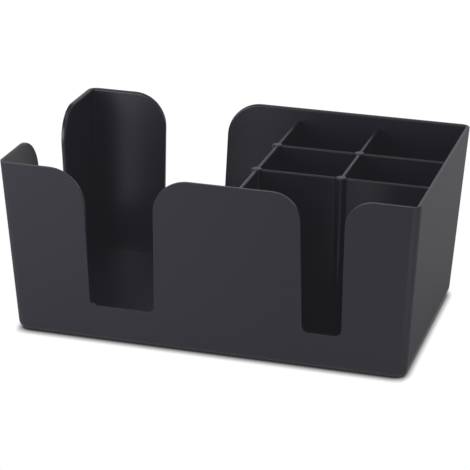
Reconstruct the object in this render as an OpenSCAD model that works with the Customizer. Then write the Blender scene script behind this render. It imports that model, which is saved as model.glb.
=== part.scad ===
// Bar caddy: an open tray with hand cut-outs and a lift-out grid of four dividers.
// The walls lean out towards the rim, so trays of this kind stack and leave their mould.
// Frame: X runs along the tray, Y runs from the front to the back, Z is up from the foot.

/* [Tray] */
// Length of the tray across its rim
rim_l = 240; // [210:1:300]
// Depth of the tray across its rim
rim_d = 152.5; // [130:0.5:200]
// Height of the tray
tray_h = 104.5; // [90:0.5:140]
// Lean of each end wall, from the rim in to the foot
end_lean = 5.7; // [2:0.1:9]
// Lean of the front and back walls, from the rim in to the foot
face_lean = 9.1; // [3:0.1:14]
// Wall thickness
wall = 2.6; // [1.6:0.1:3]
// Floor thickness
floor_t = 2.4; // [1.6:0.1:4]
// Outside radius of the upright corners and of the foot edge
edge_r = 5.6; // [4:0.1:8]

/* [Cut-outs] */
// Width at the sill of the napkin cut-outs in the front and back walls
napkin_slot_w = 38; // [25:0.1:50]
// Distance from the left rim to the middle of the napkin cut-outs
napkin_slot_in = 70.5; // [62:0.5:80]
// Width at the sill of the napkin cut-out in the left end wall
end_slot_w = 41; // [25:0.1:50]
// Distance from the front rim to the middle of the left cut-out
end_slot_in = 75.5; // [65:0.5:85]
// Width at the sill of the straw cut-out in the front wall
straw_slot_w = 22.3; // [12:0.1:32]
// Height of every sill above the foot
sill_z = 21.8; // [12:0.1:45]
// Slope of each cut-out flank away from upright, in degrees
flank_slope = 1; // [0.2:0.1:3]
// Radius at the two lower corners of a cut-out
toe_r = 4; // [1.5:0.1:7]
// Radius of the shoulders beside the napkin cut-outs
napkin_shoulder_r = 20.5; // [10:0.5:24]
// Radius of the shoulders beside the straw cut-out
straw_shoulder_r = 16; // [8:0.5:20]

/* [Dividers] */
// Thickness of a divider
blade_t = 2; // [1.4:0.1:3]
// Height of the rim above the divider tops
divider_drop = 7; // [2:0.5:20]
// Distance from the left rim to the long divider
napkin_bay_l = 135.2; // [120:0.1:145]
// Distance from the long divider to the short divider
cell_l = 49.1; // [35:0.1:60]
// Distance from the front rim to the front cross divider
straw_bay_d = 54.7; // [40:0.1:62]
// Distance from the back rim to the rear cross divider
rear_cell_d = 52.6; // [38:0.1:62]
// Diameter of the round post at each crossing
post_d = 6; // [4.5:0.1:9]
// Height of a post above the divider tops
post_proud = 0.3; // [0.1:0.1:1.5]
// Bevel round the top of a post
post_bevel = 0.5; // [0.2:0.1:1]

/* [Guides] */
// Thickness of a guide rib
rib_t = 1.6; // [1:0.1:2.4]
// How far a guide rib stands out from its wall
rib_out = 2.2; // [1.2:0.1:4]
// Height of the guide ribs above the floor
rib_h = 62; // [20:1:75]
// Running clearance round a divider
fit = 0.3; // [0.2:0.05:0.5]

/* [Hidden] */
$fn = 64;

// Overrun of a cutting shape past the face that it leaves through
spill = 1;
// Inside radius that keeps the wall even round the corners
inner_r = edge_r - wall;
// How far a rounding stands proud of the walls it joins, so that it meets each in a clean line
rounding_lift = 0.005;
// How far the upright part of a corner cut laps over the part at the foot
corner_lap = 0.2;

// Height of the divider tops, and the height where crossing dividers are halved
blade_z = tray_h - divider_drop;
halving_z = (floor_t + blade_z) / 2;

// Places of the dividers
long_x = -rim_l / 2 + napkin_bay_l;
short_x = long_x + cell_l;
front_y = -rim_d / 2 + straw_bay_d;
rear_y = rim_d / 2 - rear_cell_d;

// Half the width of the notch that lets a post through
notch = post_d / 2 + fit;

// Places of the cut-outs: the straw cut-out is centred on the bay behind it
napkin_slot_x = -rim_l / 2 + napkin_slot_in;
end_slot_y = -rim_d / 2 + end_slot_in;
straw_slot_x = (long_x + blade_t / 2 + inner_half(rim_l, end_lean, tray_h)) / 2;

tray_colour = "#3b3b40";
divider_colour = "#323237";

// Angle that a wall leans from upright
function lean_angle(lean, h) = atan2(lean, h);

// Distance from the sharp foot edge of a leaning wall in to the start of its foot radius
function foot_inset(lean, h, r) = r / tan(45 + lean_angle(lean, h) / 2);

// Half the clear width between two opposite walls at height z
function inner_half(rim, lean, z) =
    rim / 2 - wall / cos(lean_angle(lean, tray_h)) - lean * (1 - z / tray_h);

// Section between two leaning walls, with a crisp foot: half is the half width at the top
module crisp_section(half, lean, h) {
    polygon([[lean - half, 0], [half - lean, 0], [half, h], [-half, h]]);
}

// Section between two leaning walls, with a foot of radius r that stands proud by lift
module leaning_section(half, lean, h, r, lift = 0) {
    a = lean_angle(lean, h);
    c = half - lean - foot_inset(lean, h, r);
    polygon([
        [-c, 0],
        [c, 0],
        [c + r * cos(a), r - r * sin(a)],
        [half, h],
        [-half, h],
        [-c - r * cos(a), r - r * sin(a)]
    ]);
    for (side = [-1, 1])
        translate([side * c, r]) circle(r + lift);
}

// What is taken off one corner of a leaning block to round it: all that lies outside a leaning
// cylinder down the upright edge, which runs out through a crisp foot or ends in a ball at a round one
module corner_cut(half_l, half_d, lean_l, lean_d, h, r, round_foot) {
    a = lean_angle(lean_l, h);
    b = lean_angle(lean_d, h);
    slant = norm([lean_l, lean_d, h]);
    tip = acos(h / slant);
    turn = atan2(lean_d, lean_l);
    start = atan2(-cos(a) * sin(turn), cos(a) * cos(tip) * cos(turn) + sin(a) * sin(tip));
    stop = atan2(cos(b) * cos(turn), cos(b) * cos(tip) * sin(turn) + sin(b) * sin(tip));
    middle = (start + stop) / 2;
    reach = 3 * r;
    under = round_foot ? corner_lap : reach;
    ball = [
        half_l - lean_l - foot_inset(lean_l, h, r),
        half_d - lean_d - foot_inset(lean_d, h, r),
        r
    ];
    translate(ball) difference() {
        union() {
            rotate([0, tip, turn]) translate([0, 0, -under]) linear_extrude(slant + reach + under)
                polygon([
                    [0, 0],
                    reach * [cos(start), sin(start)],
                    2 * reach * [cos(middle), sin(middle)],
                    reach * [cos(stop), sin(stop)]
                ]);
            if (round_foot) difference() {
                translate([0, 0, -reach]) cube([reach, reach, 2 * reach]);
                rotate([0, tip, turn]) translate([-2 * reach, -2 * reach, 0]) cube(4 * reach);
            }
        }
        rotate([0, tip, turn]) {
            translate([0, 0, round_foot ? 0 : -2 * reach])
                cylinder(h = slant + 4 * reach, r = r + rounding_lift);
            if (round_foot) sphere(r + rounding_lift);
        }
    }
}

// Block with four leaning walls and round upright corners: the outside of the tray has a round
// foot, and the space in it a crisp one
module leaning_block(half_l, half_d, lean_l, lean_d, h, r, round_foot) {
    difference() {
        intersection() {
            rotate([90, 0, 0]) linear_extrude(3 * half_d, center = true)
                if (round_foot) leaning_section(half_l, lean_l, h, r);
                else crisp_section(half_l, lean_l, h);
            rotate([90, 0, 90]) linear_extrude(3 * half_l, center = true)
                if (round_foot) leaning_section(half_d, lean_d, h, r);
                else crisp_section(half_d, lean_d, h);
        }
        for (x = [0, 1], y = [0, 1])
            mirror([x, 0, 0]) mirror([0, y, 0])
                corner_cut(half_l, half_d, lean_l, lean_d, h, r, round_foot);
    }
}

// Space inside the walls, from the floor up past the rim
module tray_space() {
    top = tray_h + spill;
    rise = top - floor_t;
    translate([0, 0, floor_t]) leaning_block(
        inner_half(rim_l, end_lean, top), inner_half(rim_d, face_lean, top),
        end_lean * rise / tray_h, face_lean * rise / tray_h, rise, inner_r, false);
}

// Outline of a cut-out: a slot with rounded toes, opening in two round shoulders at the rim
module slot_outline(width, shoulder_r) {
    top = tray_h + spill;
    spread = tan(flank_slope);
    rim_half = width / 2 + (tray_h - sill_z) * spread;
    centre = [
        rim_half + shoulder_r * (1 - sin(flank_slope)) / cos(flank_slope),
        tray_h - shoulder_r
    ];
    touch = centre - shoulder_r * [cos(flank_slope), -sin(flank_slope)];
    rise = top - sill_z;
    translate([0, sill_z])
        leaning_section(width / 2 + rise * spread, rise * spread, rise, toe_r, rounding_lift);
    for (side = [0, 1]) mirror([side, 0]) difference() {
        polygon([[0, touch[1]], touch, centre, [centre[0], top], [0, top]]);
        translate(centre) circle(shoulder_r + rounding_lift);
    }
}

// Cut through the front wall, centred on x
module front_cut(x, width, shoulder_r) {
    depth = face_lean + 2 * wall + spill;
    translate([x, -rim_d / 2 - spill + depth, 0]) rotate([90, 0, 0])
        linear_extrude(depth) slot_outline(width, shoulder_r);
}

// Cut through the left end wall, centred on y
module left_cut(y, width, shoulder_r) {
    depth = end_lean + 2 * wall + spill;
    translate([-rim_l / 2 - spill, y, 0]) rotate([90, 0, 90])
        linear_extrude(depth) slot_outline(width, shoulder_r);
}

// Two ribs up the inside of the wall that faces +Y, with the end of a divider between them
module guide_pair(rim, lean) {
    foot = floor_t / 2;
    top = floor_t + rib_h;
    face = [for (z = [foot, top - rib_out, top]) inner_half(rim, lean, z)];
    for (side = [-1, 1])
        translate([side * (blade_t / 2 + fit + rib_t / 2), 0, 0]) rotate([90, 0, 90])
            linear_extrude(rib_t, center = true) polygon([
                [face[0] + wall / 2, foot],
                [face[2] + wall / 2, top],
                [face[2], top],
                [face[1] - rib_out, top - rib_out],
                [face[0] - rib_out, foot]
            ]);
}

// Section across a divider, with a round top edge
module blade_section() {
    translate([-blade_t / 2, floor_t]) square([blade_t, blade_z - blade_t / 2 - floor_t]);
    translate([0, blade_z - blade_t / 2]) circle(blade_t / 2);
}

// Side view of a divider that stands on the floor and reaches both walls
module blade_outline(rim, lean) {
    rise = blade_z - floor_t;
    translate([0, floor_t])
        leaning_section(inner_half(rim, lean, blade_z) - fit, lean * rise / tray_h, rise, inner_r);
}

// Upper half of a crossing post, which stands on a divider that runs front to back
module upper_post() {
    top = blade_z + post_proud;
    translate([0, 0, halving_z]) cylinder(h = top - post_bevel - halving_z, d = post_d);
    translate([0, 0, top - post_bevel]) cylinder(h = post_bevel, d1 = post_d, d2 = post_d - 2 * post_bevel);
}

// Lower half of a crossing post, which stands on a cross divider
module lower_post() {
    translate([0, 0, floor_t]) cylinder(h = halving_z - floor_t, d = post_d);
}

// Divider that runs front to back at x, halved from below, from y = start to the back wall
module lengthwise_divider(x, start) {
    translate([x, 0, 0]) {
        intersection() {
            rotate([90, 0, 0]) linear_extrude(rim_d, center = true) blade_section();
            rotate([90, 0, 90]) linear_extrude(blade_t + spill, center = true) difference() {
                blade_outline(rim_d, face_lean);
                translate([-rim_d, 0]) square([rim_d + start, tray_h]);
                for (y = [front_y, rear_y])
                    translate([y - notch, 0]) square([2 * notch, halving_z + fit / 2]);
            }
        }
        for (y = [front_y, rear_y])
            translate([0, y, 0]) upper_post();
    }
}

// Divider that runs from the long divider to the right end wall at y, halved from above
module cross_divider(y) {
    translate([0, y, 0]) {
        intersection() {
            rotate([90, 0, 90]) linear_extrude(rim_l, center = true) blade_section();
            rotate([90, 0, 0]) linear_extrude(blade_t + spill, center = true) difference() {
                blade_outline(rim_l, end_lean);
                translate([-rim_l, 0]) square([rim_l + long_x, tray_h]);
                for (x = [long_x, short_x])
                    translate([x - notch, halving_z - fit / 2]) square([2 * notch, tray_h]);
            }
        }
        for (x = [long_x, short_x])
            translate([x, 0, 0]) lower_post();
    }
}

// The moulded tray: leaning walls, floor, cut-outs and the ribs that guide the dividers
module tray() {
    color(tray_colour) {
        difference() {
            leaning_block(rim_l / 2, rim_d / 2, end_lean, face_lean, tray_h, edge_r, true);
            tray_space();
            front_cut(napkin_slot_x, napkin_slot_w, napkin_shoulder_r);
            mirror([0, 1, 0]) front_cut(napkin_slot_x, napkin_slot_w, napkin_shoulder_r);
            left_cut(end_slot_y, end_slot_w, napkin_shoulder_r);
            front_cut(straw_slot_x, straw_slot_w, straw_shoulder_r);
        }
        for (x = [long_x, short_x])
            translate([x, 0, 0]) guide_pair(rim_d, face_lean);
        translate([long_x, 0, 0]) mirror([0, 1, 0]) guide_pair(rim_d, face_lean);
        for (y = [front_y, rear_y])
            translate([0, y, 0]) rotate([0, 0, -90]) guide_pair(rim_l, end_lean);
    }
}

// The wall of the napkin bay, from the front wall to the back wall
module long_divider() {
    color(divider_colour) lengthwise_divider(long_x, -rim_d / 2);
}

// The divider between the cells, from the front cross divider to the back wall
module short_divider() {
    color(divider_colour) lengthwise_divider(short_x, front_y);
}

// The back wall of the straw bay
module front_cross_divider() {
    color(divider_colour) cross_divider(front_y);
}

// The divider between the middle cells and the rear cells
module rear_cross_divider() {
    color(divider_colour) cross_divider(rear_y);
}

tray();
long_divider();
short_divider();
front_cross_divider();
rear_cross_divider();
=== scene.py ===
# %% [markdown]
# # A bar caddy in charcoal plastic
# The caddy is an open tray with leaning walls and round-shouldered cut-outs, and four slim dividers that
# interlock inside it. The measured solids are already there as a fixed frame. This lesson dresses them:
# every edge is rounded the way a mould maker rounds it, the plastic gets its grain and sheen, and a plain
# studio is set up around it. All lengths are in metres, and the caddy stands on z = 0.

# %% Load the frame
import math

import bmesh
import bpy
from mathutils import Matrix, Vector


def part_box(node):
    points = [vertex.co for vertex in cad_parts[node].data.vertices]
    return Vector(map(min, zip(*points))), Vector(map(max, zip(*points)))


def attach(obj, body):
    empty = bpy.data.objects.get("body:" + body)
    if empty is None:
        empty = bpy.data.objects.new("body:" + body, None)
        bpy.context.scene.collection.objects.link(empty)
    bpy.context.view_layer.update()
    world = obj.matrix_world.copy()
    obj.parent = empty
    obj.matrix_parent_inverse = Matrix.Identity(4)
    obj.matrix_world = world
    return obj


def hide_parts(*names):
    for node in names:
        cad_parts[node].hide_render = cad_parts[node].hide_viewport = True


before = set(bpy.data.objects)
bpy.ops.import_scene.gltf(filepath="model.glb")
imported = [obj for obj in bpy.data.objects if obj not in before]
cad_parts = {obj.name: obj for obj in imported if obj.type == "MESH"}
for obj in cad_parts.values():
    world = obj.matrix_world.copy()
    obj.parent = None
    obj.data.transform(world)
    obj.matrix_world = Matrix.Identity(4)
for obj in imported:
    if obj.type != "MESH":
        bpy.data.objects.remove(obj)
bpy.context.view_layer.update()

MM = 0.001
print("nodes:", sorted(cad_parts))

# %% [markdown]
# ## The camera
# A product photograph like this one is taken from far away with a long lens, so that the walls hardly
# converge. The camera is placed by how far it is turned and tilted about the middle of the caddy and by its
# distance, and not by typing a position: those are the numbers one can read off a picture. The camera was
# held less than a degree out of level, which is kept, because it decides how the rim runs.

# %% Place the camera
VIEW_TURN = math.radians(15.737)
VIEW_TILT = math.radians(20.78)
VIEW_ROLL = math.radians(0.862)
VIEW_DISTANCE = 1.2025
VIEW_CENTRE = Vector((0, 0, 50 * MM))
AIM_RIGHT, AIM_UP = -3.08 * MM, -2.26 * MM
LENS_MM = 157.4

away = Vector((
    math.sin(VIEW_TURN) * math.cos(VIEW_TILT),
    -math.cos(VIEW_TURN) * math.cos(VIEW_TILT),
    math.sin(VIEW_TILT),
))
camera_data = bpy.data.cameras.new("studio_camera")
camera_data.lens = LENS_MM
camera = bpy.data.objects.new("studio_camera", camera_data)
bpy.context.scene.collection.objects.link(camera)
camera.location = VIEW_CENTRE + away * VIEW_DISTANCE
level = away.to_track_quat("Z", "Y").to_matrix()
aim = VIEW_CENTRE + level.col[0] * AIM_RIGHT + level.col[1] * AIM_UP
sight = (camera.location - aim).to_track_quat("Z", "Y")
camera.rotation_euler = (sight.to_matrix() @ Matrix.Rotation(VIEW_ROLL, 3, "Z")).to_euler()
bpy.context.scene.camera = camera
print("camera at", [round(v, 4) for v in camera.location])

# %% [markdown]
# ## The white sheet
# Black plastic shows little but reflections, so what stands around it matters more than the lamps. Under
# the caddy lies a sheet that glows like a light table, more so towards the back and the right, and that glow
# is what the walls mirror. The camera sees the sheet lifted to plain white, as a retoucher lifts a
# background, except for a narrow shadow at the foot. That shadow is drawn from how much of the sky each
# point of the sheet can see, and it thins out at both ends of the caddy.

# %% Lay the sheet
SHEET_SIDE = 8.0
SHEET_WHITE = 0.57
GLOW_FROM, GLOW_TO = -0.39, 0.5
GLOW_MOST = 0.5
GLOW_SLANT = 0.3
SHEET_SHOWN = 1.02
SHADOW_REACH = 7 * MM
SKY_DARKEST, SKY_OPEN = 0.34, 0.96
THIN_FROM, THIN_TO = 113 * MM, 120 * MM
THIN_MOST = 0.36
SHADOW_SHOWN = 0.02


def plain_object(name, bm):
    """Puts a finished bmesh into the scene as an object."""
    mesh = bpy.data.meshes.new(name)
    bm.to_mesh(mesh)
    bm.free()
    made = bpy.data.objects.new(name, mesh)
    bpy.context.scene.collection.objects.link(made)
    return made


def add_node(tree, kind, **values):
    """Adds a shader node and sets its inputs; From_Min stands for the socket From Min."""
    node = tree.nodes.new(kind)
    for name, value in values.items():
        node.inputs[name.replace("_", " ")].default_value = value
    return node


def sheet_paper():
    """Makes paper that glows on the caddy, and that the camera sees as white with a shadow at the foot."""
    paper = bpy.data.materials.new("white_paper")
    paper.use_nodes = True
    tree, link = paper.node_tree, paper.node_tree.links.new
    tree.nodes.remove(tree.nodes["Principled BSDF"])
    path = add_node(tree, "ShaderNodeLightPath")
    near = add_node(tree, "ShaderNodeAmbientOcclusion", Distance=SHADOW_REACH)
    where = add_node(tree, "ShaderNodeTexCoord")
    place = add_node(tree, "ShaderNodeSeparateXYZ")
    beside = tree.nodes.new("ShaderNodeMath")
    beside.operation = "ABSOLUTE"
    end = add_node(tree, "ShaderNodeMapRange", From_Min=THIN_FROM, From_Max=THIN_TO, To_Max=THIN_MOST)
    open_sky = tree.nodes.new("ShaderNodeMath")
    open_sky.operation = "ADD"
    shade = add_node(tree, "ShaderNodeMapRange", From_Min=SKY_DARKEST, From_Max=SKY_OPEN,
                     To_Min=SHADOW_SHOWN, To_Max=SHEET_SHOWN)
    shown = add_node(tree, "ShaderNodeEmission")
    link(where.outputs["Object"], place.inputs["Vector"])
    link(place.outputs["X"], beside.inputs[0])
    link(beside.outputs["Value"], end.inputs["Value"])
    link(near.outputs["AO"], open_sky.inputs[0])
    link(end.outputs["Result"], open_sky.inputs[1])
    link(open_sky.outputs["Value"], shade.inputs["Value"])
    link(shade.outputs["Result"], shown.inputs["Strength"])
    along = tree.nodes.new("ShaderNodeVectorMath")
    along.operation = "DOT_PRODUCT"
    along.inputs[1].default_value = (GLOW_SLANT, 1, 0)
    depth = add_node(tree, "ShaderNodeMapRange", From_Min=GLOW_FROM, From_Max=GLOW_TO, To_Max=GLOW_MOST)
    glow = add_node(tree, "ShaderNodeEmission")
    link(where.outputs["Object"], along.inputs[0])
    link(along.outputs["Value"], depth.inputs["Value"])
    link(depth.outputs["Result"], glow.inputs["Strength"])
    white = add_node(tree, "ShaderNodeBsdfDiffuse", Color=(SHEET_WHITE, SHEET_WHITE, SHEET_WHITE, 1))
    lit = add_node(tree, "ShaderNodeAddShader")
    link(white.outputs["BSDF"], lit.inputs[0])
    link(glow.outputs["Emission"], lit.inputs[1])
    mix = add_node(tree, "ShaderNodeMixShader")
    link(path.outputs["Is Camera Ray"], mix.inputs["Fac"])
    link(lit.outputs["Shader"], mix.inputs[1])
    link(shown.outputs["Emission"], mix.inputs[2])
    link(mix.outputs["Shader"], tree.nodes["Material Output"].inputs["Surface"])
    return paper


bm = bmesh.new()
bmesh.ops.create_grid(bm, x_segments=1, y_segments=1, size=SHEET_SIDE / 2)
sheet = plain_object("white_sheet", bm)
sheet.data.materials.append(sheet_paper())
print("sheet in metres:", [round(side, 2) for side in sheet.dimensions.xy])

# %% [markdown]
# ## The studio
# Low white walls all round light the sheer faces, and the ceiling is dim, so that the inside of the tray
# stays dark. A soft box at the front left lights the front, more so at its left end, and the sheet before
# it, which the back wall mirrors as a soft streak behind the napkin cut-out. A long one overhead draws the
# thin light line along every rounded inner edge, because only an edge turns through the angle that mirrors
# it. In the same way a small card, low down at the front right, draws a soft band up the rounded corner
# beside it. All of this light is a little blue. Stray light in the lens lifts the deepest blacks: it is
# added as a raised black level.

# %% Light the studio
WALL_GLOW = 0.7
CEILING_GLOW = 0.15
WALL_FADE, WALL_TOP = 0.36, 0.6
LENS_VEIL = (0.0100, 0.0097, 0.0114)
LIGHT_COLOUR = (0.985, 0.975, 1.05)


def studio_walls():
    """Makes a world whose brightness depends only on how high one looks."""
    world = bpy.data.worlds.new("studio_walls")
    world.use_nodes = True
    tree, link = world.node_tree, world.node_tree.links.new
    where = add_node(tree, "ShaderNodeTexCoord")
    height = add_node(tree, "ShaderNodeSeparateXYZ")
    fade = add_node(tree, "ShaderNodeMapRange", From_Min=WALL_FADE, From_Max=WALL_TOP,
                    To_Min=WALL_GLOW, To_Max=CEILING_GLOW)
    fade.interpolation_type = "SMOOTHSTEP"
    link(where.outputs["Generated"], height.inputs["Vector"])
    link(height.outputs["Z"], fade.inputs["Value"])
    link(fade.outputs["Result"], tree.nodes["Background"].inputs["Strength"])
    tree.nodes["Background"].inputs["Color"].default_value = (*LIGHT_COLOUR, 1)
    bpy.context.scene.world = world


def soft_box(name, place, width, depth, power):
    """Hangs a rectangle of light that looks at the middle of the caddy; its power is in watts."""
    lamp = bpy.data.lights.new(name, "AREA")
    lamp.shape = "RECTANGLE"
    lamp.size, lamp.size_y = width, depth
    lamp.energy = power
    lamp.color = LIGHT_COLOUR
    box = bpy.data.objects.new(name, lamp)
    bpy.context.scene.collection.objects.link(box)
    box.location = place
    box.rotation_euler = (box.location - VIEW_CENTRE).to_track_quat("Z", "Y").to_euler()


studio_walls()
soft_box("left_soft_box", place=(-0.29, -0.34, 0.21), width=0.3, depth=0.3, power=1.12)
soft_box("top_soft_box", place=(-0.05, -0.10, 0.86), width=0.8, depth=0.3, power=1.25)
soft_box("corner_card", place=(0.225, -0.17, 0.007), width=0.024, depth=0.014, power=0.031)
view = bpy.context.scene.view_settings
view.view_transform = "Standard"
view.use_curve_mapping = True
view.curve_mapping.black_level = [-v for v in LENS_VEIL]
view.curve_mapping.update()
print("lamps in watts:", {lamp.name: round(lamp.energy, 3) for lamp in bpy.data.lights})

# %% [markdown]
# ## Rounded edges
# No moulded edge is sharp. Copying the measured mesh keeps every size; its convex edges are then rounded,
# each by the radius that its piece asks for. Before that, each piece may move a few corners by less than a
# millimetre. A mark is left on the rounded faces, because hands polish them first.

# %% Round the edges
WELD = 0.02 * MM
FLAT_ANGLE = math.radians(0.3)
EDGE_ANGLE = math.radians(35)
ROUND_STEPS = 4


def edge_middle(edge):
    return (edge.verts[0].co + edge.verts[1].co) / 2


def rounded_copy(node, radius_of, reshape):
    """Copies a node's mesh, lets reshape move corners, and rounds convex edges by radius_of(edge)."""
    bm = bmesh.new()
    bm.from_mesh(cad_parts[node].data)
    bmesh.ops.remove_doubles(bm, verts=bm.verts[:], dist=WELD)
    bmesh.ops.dissolve_limit(bm, angle_limit=FLAT_ANGLE, verts=bm.verts[:], edges=bm.edges[:])
    reshape(bm)
    wear = bm.verts.layers.float.new("edge_wear")
    sharp = [e for e in bm.edges if e.is_convex and e.calc_face_angle(0) > EDGE_ANGLE]
    by_radius = {}
    for edge in sharp:
        by_radius.setdefault(radius_of(edge), []).append(edge)
    for radius in sorted(r for r in by_radius if r > 0):
        made = bmesh.ops.bevel(bm, geom=[e for e in by_radius[radius] if e.is_valid], offset=radius,
                               segments=ROUND_STEPS, profile=0.5, affect="EDGES")
        band = set(made["faces"])
        for vert in {v for face in band for v in face.verts}:
            vert[wear] = float(all(face in band for face in vert.link_faces))
    piece = plain_object(node + "_moulding", bm)
    mesh = piece.data
    if "custom_normal" in mesh.attributes:
        mesh.attributes.remove(mesh.attributes["custom_normal"])
    mesh.shade_smooth()
    mesh.set_sharp_from_angle(angle=EDGE_ANGLE)
    normals = piece.modifiers.new("flat_faces_stay_flat", "WEIGHTED_NORMAL")
    normals.keep_sharp = True
    print(piece.name, "faces", len(mesh.polygons), "edges rounded",
          {round(r / MM, 2): len(e) for r, e in by_radius.items()})
    return piece


# %% [markdown]
# ## The grain of the mould
# The outside of the tray was moulded against a finely blasted steel, which leaves pits of about a third of
# a millimetre that nobody sees one by one, but that spread every highlight. The group gives their height.


# %% Grain group
def shader_group(name, inputs, outputs):
    """Makes a node group with named sockets and returns it with its tree ends."""
    group = bpy.data.node_groups.new(name, "ShaderNodeTree")
    for label, kind in inputs:
        group.interface.new_socket(label, in_out="INPUT", socket_type="NodeSocket" + kind)
    for label, kind in outputs:
        group.interface.new_socket(label, in_out="OUTPUT", socket_type="NodeSocket" + kind)
    return group, group.nodes.new("NodeGroupInput"), group.nodes.new("NodeGroupOutput")


grain_group, ends_in, ends_out = shader_group(
    "moulded_grain", [("Place", "Vector"), ("Grains per Metre", "Float")], [("Height", "Float")])
pits = add_node(grain_group, "ShaderNodeTexNoise", Detail=2.0, Roughness=0.6)
grain_group.links.new(ends_in.outputs["Place"], pits.inputs["Vector"])
grain_group.links.new(ends_in.outputs["Grains per Metre"], pits.inputs["Scale"])
grain_group.links.new(pits.outputs["Fac"], ends_out.inputs["Height"])

# %% [markdown]
# ## Flow marks
# Plastic that fills a mould cools unevenly, so its shade drifts by some per cent over a few centimetres,
# and pulling the part off the core leaves faint upright streaks in its gloss. One group gives both as values
# between 0 and 1: a cloud for the drift, and streaks that are far longer than wide.

# %% Flow mark group
STREAKS_PER_METRE = (420.0, 420.0, 9.0)

flow_group, ends_in, ends_out = shader_group(
    "flow_marks", [("Place", "Vector")], [("Cloud", "Float"), ("Streaks", "Float")])
cloud = add_node(flow_group, "ShaderNodeTexNoise", Scale=26.0, Detail=3.0, Roughness=0.55)
upright = flow_group.nodes.new("ShaderNodeVectorMath")
upright.operation = "MULTIPLY"
upright.inputs[1].default_value = STREAKS_PER_METRE
streaks = add_node(flow_group, "ShaderNodeTexNoise", Scale=1.0, Detail=2.0)
flow_group.links.new(ends_in.outputs["Place"], cloud.inputs["Vector"])
flow_group.links.new(ends_in.outputs["Place"], upright.inputs[0])
flow_group.links.new(upright.outputs["Vector"], streaks.inputs["Vector"])
flow_group.links.new(cloud.outputs["Fac"], ends_out.inputs["Cloud"])
flow_group.links.new(streaks.outputs["Fac"], ends_out.inputs["Streaks"])

# %% [markdown]
# ## Rubbed edges
# Napkins, fingers and the next caddy in a stack rub the rims smooth. The mark left on the rounded faces
# says where that can happen, and a coarse noise breaks it up, because nothing is rubbed evenly.

# %% Edge rub group
rub_group, ends_in, ends_out = shader_group(
    "edge_rub", [("Place", "Vector"), ("Edge", "Float")], [("Rub", "Float")])
patches = add_node(rub_group, "ShaderNodeTexNoise", Scale=60.0, Detail=4.0, Roughness=0.6)
spread = add_node(rub_group, "ShaderNodeMapRange", From_Min=0.3, From_Max=0.65)
rubbed = rub_group.nodes.new("ShaderNodeMath")
rubbed.operation = "MULTIPLY"
rub_group.links.new(ends_in.outputs["Place"], patches.inputs["Vector"])
rub_group.links.new(patches.outputs["Fac"], spread.inputs["Value"])
rub_group.links.new(spread.outputs["Result"], rubbed.inputs[0])
rub_group.links.new(ends_in.outputs["Edge"], rubbed.inputs[1])
rub_group.links.new(rubbed.outputs["Value"], ends_out.inputs["Rub"])

# %% [markdown]
# ## Settled dust
# A little paper dust from napkins and straws settles on whatever faces up: the floor, the sills and the
# tops of the posts. The mask is the upward part of the surface normal times a fine, sparse noise.

# %% Dust group
dust_group, ends_in, ends_out = shader_group("settled_dust", [("Place", "Vector")], [("Dust", "Float")])
facing = dust_group.nodes.new("ShaderNodeNewGeometry")
normal = dust_group.nodes.new("ShaderNodeSeparateXYZ")
upward = add_node(dust_group, "ShaderNodeMapRange", From_Min=0.75, From_Max=1.0)
specks = add_node(dust_group, "ShaderNodeTexNoise", Scale=900.0, Detail=3.0, Roughness=0.7)
sparse = add_node(dust_group, "ShaderNodeMapRange", From_Min=0.45, From_Max=0.8)
settled = dust_group.nodes.new("ShaderNodeMath")
settled.operation = "MULTIPLY"
dust_group.links.new(facing.outputs["Normal"], normal.inputs["Vector"])
dust_group.links.new(normal.outputs["Z"], upward.inputs["Value"])
dust_group.links.new(ends_in.outputs["Place"], specks.inputs["Vector"])
dust_group.links.new(specks.outputs["Fac"], sparse.inputs["Value"])
dust_group.links.new(upward.outputs["Result"], settled.inputs[0])
dust_group.links.new(sparse.outputs["Result"], settled.inputs[1])
dust_group.links.new(settled.outputs["Value"], ends_out.inputs["Dust"])
print("groups:", [g.name for g in (grain_group, flow_group, rub_group, dust_group)])

# %% [markdown]
# ## Charcoal plastic
# All pieces are one coloured plastic, a black with a trace of blue. What differs is the steel they were
# moulded against: blasted outside, polished inside and a little less so on the dividers, and satin on the
# rim, the cut edges and the floor. So one recipe makes all four finishes, and only its roughness and the
# size and depth of its grain change.

# %% Make the finishes
CHARCOAL = (0.0080, 0.0071, 0.0130)
DUST_COLOUR = (0.25, 0.24, 0.23)
SHADE_DRIFT = 0.12
GLOSS_DRIFT = 0.008
STREAK_LOW, STREAK_HIGH = 0.25, 0.75
RUB_GLOSS = 0.12
DUST_COVER = 0.03


def group_in(tree, group, place):
    """Places a group in a material and tells it where each point of the surface lies."""
    node = tree.nodes.new("ShaderNodeGroup")
    node.node_tree = group
    tree.links.new(place, node.inputs["Place"])
    return node


def colour_mix(tree, amount, first, second):
    """Mixes two colours, each given as a value or as a socket, by a socket."""
    mix = tree.nodes.new("ShaderNodeMix")
    mix.data_type = "RGBA"
    tree.links.new(amount, mix.inputs["Factor"])
    for socket, colour in (("A_Color", first), ("B_Color", second)):
        target = next(s for s in mix.inputs if s.identifier == socket)
        if isinstance(colour, bpy.types.NodeSocket):
            tree.links.new(colour, target)
        else:
            target.default_value = (*colour, 1)
    return next(s for s in mix.outputs if s.identifier == "Result_Color")


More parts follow.
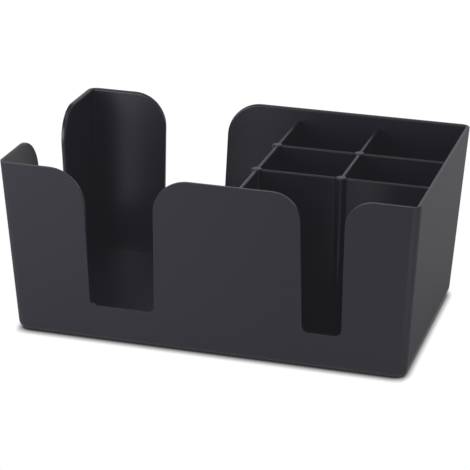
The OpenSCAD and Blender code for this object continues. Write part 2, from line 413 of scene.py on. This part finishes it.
def charcoal(name, roughness, grains_per_metre, grain_depth):
    """Makes one finish of the plastic from its roughness and the size and depth of its grain."""
    material = bpy.data.materials.new(name)
    material.use_nodes = True
    tree, link = material.node_tree, material.node_tree.links.new
    shader = tree.nodes["Principled BSDF"]
    place = tree.nodes.new("ShaderNodeTexCoord").outputs["Object"]
    flow = group_in(tree, flow_group, place)
    dust = group_in(tree, dust_group, place)
    rub = group_in(tree, rub_group, place)
    grain = group_in(tree, grain_group, place)
    grain.inputs["Grains per Metre"].default_value = grains_per_metre
    edge = tree.nodes.new("ShaderNodeAttribute")
    edge.attribute_name = "edge_wear"
    link(edge.outputs["Fac"], rub.inputs["Edge"])
    darker, lighter = ([c * (1 + s * SHADE_DRIFT) for c in CHARCOAL] for s in (-1, 1))
    plastic = colour_mix(tree, flow.outputs["Cloud"], darker, lighter)
    thin = add_node(tree, "ShaderNodeMapRange", To_Max=DUST_COVER)
    link(dust.outputs["Dust"], thin.inputs["Value"])
    link(colour_mix(tree, thin.outputs["Result"], plastic, DUST_COLOUR), shader.inputs["Base Color"])
    gloss = add_node(tree, "ShaderNodeMapRange", From_Min=STREAK_LOW, From_Max=STREAK_HIGH,
                     To_Min=roughness - GLOSS_DRIFT, To_Max=roughness + GLOSS_DRIFT)
    polish = tree.nodes.new("ShaderNodeMath")
    polish.operation = "MULTIPLY_ADD"
    polish.inputs[1].default_value = -RUB_GLOSS * roughness
    link(flow.outputs["Streaks"], gloss.inputs["Value"])
    link(rub.outputs["Rub"], polish.inputs[0])
    link(gloss.outputs["Result"], polish.inputs[2])
    link(polish.outputs["Value"], shader.inputs["Roughness"])
    bump = add_node(tree, "ShaderNodeBump", Strength=1.0, Distance=grain_depth)
    link(grain.outputs["Height"], bump.inputs["Height"])
    link(bump.outputs["Normal"], shader.inputs["Normal"])
    return material


blasted = charcoal("charcoal_blasted", roughness=0.55, grains_per_metre=3000.0, grain_depth=0.012 * MM)
polished = charcoal("charcoal_polished", roughness=0.25, grains_per_metre=4500.0, grain_depth=0.0015 * MM)
satin = charcoal("charcoal_satin", roughness=0.32, grains_per_metre=4000.0, grain_depth=0.002 * MM)
blade_polished = charcoal("charcoal_blade", roughness=0.3, grains_per_metre=4500.0, grain_depth=0.0015 * MM)
print("finishes:", [m.name for m in (blasted, polished, satin, blade_polished)])

# %% [markdown]
# ## The tray
# The tray is one moulding: leaning walls, a flat floor with a rounded foot, three napkin cut-outs, a straw
# cut-out and the guide ribs for the dividers. The mould parts along the outer edge of the rim and the
# cut-outs, which stays almost crisp, while the core rounds the inner edge by a millimetre. Its own upright
# corners are nearly sharp: a wide radius there would mirror the bright front cut-out as an upright line. The
# inside takes the polish of the core and the outside the blasted grain of the cavity, so each face is told
# by which way it looks.

# %% Dress the tray
OUTER_ROUND = 0.3 * MM
INNER_ROUND = 1.0 * MM
RIB_ROUND = 0.4 * MM
RIB_REACH = 4 * MM
END_LEAN, FACE_LEAN = 5.7 * MM, 9.1 * MM
WALL, FLOOR_TOP = 2.6 * MM, 2.4 * MM
CORE_CORNER, CRISP_CORNER = 3.0 * MM, 0.8 * MM
FLOOR_BELOW, FLOOR_FACING = 10 * MM, 0.7
WALL_POWER = 8
LOOKS_OUT, LOOKS_IN, LOOKS_DOWN = 0.3, -0.5, -0.3
DIVIDERS = [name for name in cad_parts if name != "tray"]
DIVIDER_BOXES = [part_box(name) for name in DIVIDERS]
TRAY_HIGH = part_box("tray")[1]


def half_width(axis, z, thickness=0):
    """Half the tray's width along an axis at height z, outside or a wall's thickness further in."""
    lean = (END_LEAN, FACE_LEAN)[axis]
    return TRAY_HIGH[axis] - lean * (1 - z / TRAY_HIGH.z) - thickness * math.hypot(1, lean / TRAY_HIGH.z)


def outwardness(place, normal):
    """Near 1 on faces that look out of the tray, near -1 on those that look in, near 0 on cut edges."""
    total = 0
    for axis in (0, 1):
        share = place[axis] / half_width(axis, place.z)
        total += normal[axis] * math.copysign(abs(share) ** WALL_POWER, share)
    return total


def crisp_corners(bm):
    """Draws the inner upright corners in to a small radius, by scaling their distances from both walls."""
    for vert in bm.verts:
        walls = [half_width(axis, vert.co.z, WALL) for axis in (0, 1)]
        gaps = [walls[axis] - abs(vert.co[axis]) for axis in (0, 1)]
        if vert.co.z > FLOOR_TOP - WELD and all(-WELD < gap < CORE_CORNER + WELD for gap in gaps):
            for axis in (0, 1):
                drawn = walls[axis] - gaps[axis] * CRISP_CORNER / CORE_CORNER
                vert.co[axis] = math.copysign(drawn, vert.co[axis])


def beside_divider(p):
    """True within reach of a divider, where the guide ribs of the tray stand."""
    for low, high in DIVIDER_BOXES:
        near = all(low[axis] - RIB_REACH < p[axis] < high[axis] + RIB_REACH for axis in (0, 1))
        if near and p.z < high.z - RIB_REACH:
            return True
    return False


def tray_radius(edge):
    """The rounding of an edge: on a guide rib, beside an outer face, or within."""
    if beside_divider(edge_middle(edge)):
        return RIB_ROUND
    outside = any(outwardness(f.calc_center_median(), f.normal) > LOOKS_OUT for f in edge.link_faces)
    return OUTER_ROUND if outside else INNER_ROUND


def tray_finish(face):
    """0 for the blasted outside, 1 for the polished inside, 2 for the floor, the rim and the cut edges."""
    if face.center.z < FLOOR_BELOW and face.normal.z > FLOOR_FACING:
        return 2
    if beside_divider(face.center):
        return 1
    out = outwardness(face.center, face.normal)
    if out < LOOKS_IN:
        return 1
    return 2 if out < LOOKS_OUT and face.normal.z > LOOKS_DOWN else 0


tray = rounded_copy("tray", tray_radius, crisp_corners)
for finish in (blasted, polished, satin):
    tray.data.materials.append(finish)
for face in tray.data.polygons:
    face.material_index = tray_finish(face)
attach(tray, "tray")
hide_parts("tray")
print("faces outside, inside and cut:", [
    sum(f.material_index == i for f in tray.data.polygons) for i in range(3)])

# %% [markdown]
# ## The dividers
# Four thin blades with a rounded top edge stand on the floor between the ribs. Where two cross, each is cut
# away for half its height and carries half of a round post that locks into the other. They are plain
# polished mouldings, so they need only their edges broken. The two halves of a post meet face to face, so
# the rims of those faces stay as they are: a rounded rim would draw a ring round the post. Beside a post the
# measured blades keep the room they need to slide, and light from behind would shine through it as a white
# slit, so the edge of the notch is drawn up to the post until a hair's breadth is left.

# %% Dress the dividers
BLADE_ROUND = 0.25 * MM
SEAM, SEAM_MOST = 0.05 * MM, 0.6 * MM
SHEER = 0.01
HALVING_REACH = 0.05 * MM
LENGTHWISE = [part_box(name) for name in ("long_divider", "short_divider")]
CROSSWISE = [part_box(name) for name in ("front_cross_divider", "rear_cross_divider")]
POST_R = (LENGTHWISE[0][1].x - LENGTHWISE[0][0].x) / 2
POSTS = [Vector((sum(v.x for v in long_box) / 2, sum(v.y for v in cross_box) / 2, 0))
         for long_box in LENGTHWISE for cross_box in CROSSWISE]
HALVING_Z = sum(v.z for v in CROSSWISE[0]) / 2


def close_seams(bm):
    """Moves each upright notch face that looks at a post towards it, until only a seam is left."""
    for face in bm.faces:
        for post in POSTS:
            to_post = post - face.calc_center_median()
            to_post.z = 0
            ahead = to_post.dot(face.normal)
            aside = (to_post - ahead * face.normal).length
            sheer = abs(face.normal.z) < SHEER
            if sheer and POST_R < ahead < POST_R + SEAM_MOST and aside < SEAM_MOST:
                for vert in face.verts:
                    vert.co += face.normal * (ahead - POST_R - SEAM)


def blade_radius(edge):
    """The rounding of a divider's edge, none where the halves of a post meet."""
    return 0 if abs(edge_middle(edge).z - HALVING_Z) < HALVING_REACH else BLADE_ROUND


for name in DIVIDERS:
    blade = rounded_copy(name, blade_radius, close_seams)
    blade.data.materials.append(blade_polished)
    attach(blade, name)
    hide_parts(name)
